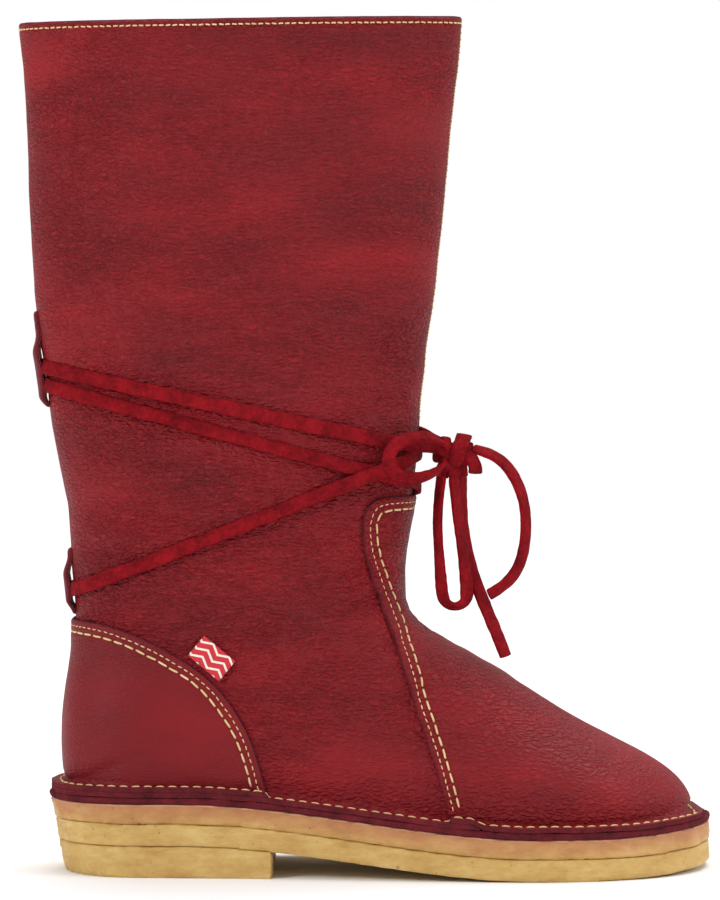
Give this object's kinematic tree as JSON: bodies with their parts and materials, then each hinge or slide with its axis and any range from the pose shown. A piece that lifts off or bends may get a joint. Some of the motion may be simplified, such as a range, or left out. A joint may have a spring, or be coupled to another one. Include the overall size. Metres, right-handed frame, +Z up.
{
  "type": "tall lace-up boot",
  "caption": "Tall red leather boot, stitched down to a layered crepe rubber sole, tied shut by a long flat thong wrapped about the ankle.",
  "frame": {"origin": "on the ground, under the middle of the boot's bounding box without its free laces", "axes": "+X towards the toe, +Y towards the inner side of the foot, +Z up"},
  "size_m": [0.2865, 0.1014, 0.3524],
  "materials": {
    "red_leather": "pebbled, semi-matte",
    "keeper_leather": "smooth cut edges, semi-matte",
    "thong_leather": "grain one side, suede the other",
    "inner_leather": "vegetable tanned, matte",
    "crepe_light": "natural crepe, matte",
    "crepe_brown": "natural crepe, matte",
    "cork": "pressed cork",
    "shank_steel": "rolled",
    "woven_label": "woven"
  },
  "bodies": {
    "boot": {"outsole": "crepe_light", "heel_block": "crepe_light", "crepe_midsole": "crepe_brown", "leather_midsole": "red_leather", "shank": "shank_steel", "cork_filler": "cork", "insole_board": "inner_leather", "footbed": "inner_leather", "quarter_lateral": "red_leather", "quarter_medial": "red_leather", "vamp": "red_leather", "heel_cover": "red_leather", "heel_stiffener": "inner_leather", "facing_lateral": "red_leather", "facing_medial": "red_leather", "back_strip": "red_leather", "toe_puff": "inner_leather", "keeper_lower": "keeper_leather", "keeper_upper": "keeper_leather", "lace_wraps": "thong_leather", "lace_knot": "thong_leather", "bow_loop_near": "thong_leather", "bow_loop_hanging": "thong_leather", "lace_end_long": "thong_leather", "lace_end_short": "thong_leather"},
    "label_tab": {"label": "woven_label"}
  },
  "joints": [
    {"name": "label_flip", "type": "hinge", "parent": "boot", "child": "label_tab", "pos_m": [-0.066, -0.03255, 0.0856], "axis": [0.7683, 0, -0.6401], "range_deg": [0, 80], "stiffness_Nm_per_rad": 0.0002}
  ]
}
